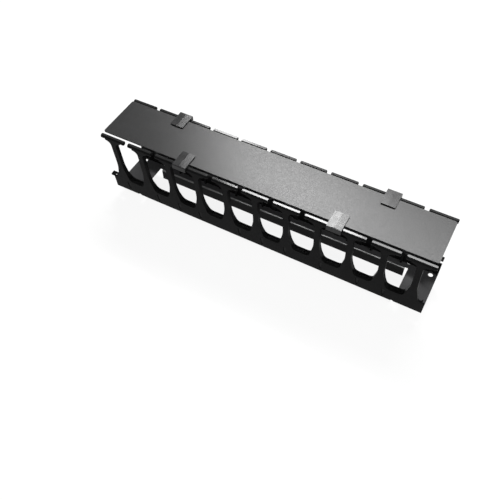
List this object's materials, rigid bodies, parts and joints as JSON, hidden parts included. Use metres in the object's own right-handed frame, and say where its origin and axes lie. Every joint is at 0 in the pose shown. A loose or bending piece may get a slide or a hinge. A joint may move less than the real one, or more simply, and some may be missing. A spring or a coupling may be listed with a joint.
{
  "type": "horizontal cable manager",
  "caption": "Horizontal cable manager for a 19-inch rack: a steel floor tray with rows of plastic fingers along both sides and a flat cover that hinges on their round bars.",
  "frame": {"origin": "centre of the length and width, at the lower edges of the tray's two flanges", "axes": "+X along the length, +Y across to the far row of fingers, +Z out of the rack towards the cover"},
  "size_m": [0.4826, 0.093, 0.1299],
  "materials": {
    "tray_paint": "black powder coat, satin",
    "cover_paint": "black powder coat, satin, fine texture",
    "rail_plastic": "black moulded plastic, satin",
    "clip_plastic": "black moulded plastic, matte"
  },
  "bodies": {
    "frame": {"floor_tray": "tray_paint", "near_finger_rail": "rail_plastic", "far_finger_rail": "rail_plastic"},
    "lid": {"cover": "cover_paint", "far_left_clip": "clip_plastic", "far_right_clip": "clip_plastic", "near_left_clip": "clip_plastic", "near_right_clip": "clip_plastic"}
  },
  "joints": [
    {"name": "cover_hinge", "type": "hinge", "parent": "frame", "child": "lid", "pos_m": [0, 0.0399, 0.1237], "axis": [-1, 0, 0], "range_deg": [0, 180]}
  ]
}
